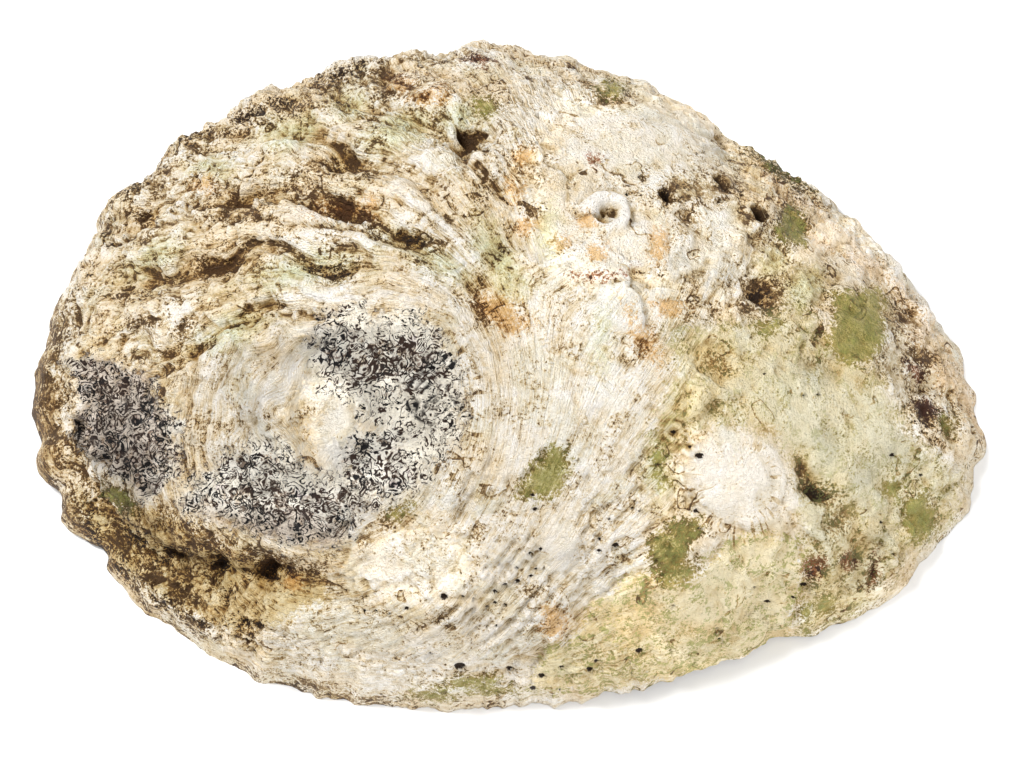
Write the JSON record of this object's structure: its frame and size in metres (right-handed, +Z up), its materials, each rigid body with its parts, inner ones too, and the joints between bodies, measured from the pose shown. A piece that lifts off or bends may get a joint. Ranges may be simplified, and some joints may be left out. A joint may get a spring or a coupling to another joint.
{
  "type": "abalone shell",
  "caption": "Empty abalone shell, worn and overgrown on its back, with an open hollow below and a row of breathing pores.",
  "frame": {"origin": "bottom centre of the bounding box, on the floor that the mouth rests on", "axes": "+X towards the growing end, +Y towards the side with the breathing pores, +Z up through the back"},
  "size_m": [0.1576, 0.1144, 0.0446],
  "materials": {
    "shell": "chalky cream lime crust with green and brown stains, worn pearly grey over the spire, pearly inside"
  },
  "bodies": {
    "root": {"shell": "shell"}
  },
  "joints": []
}
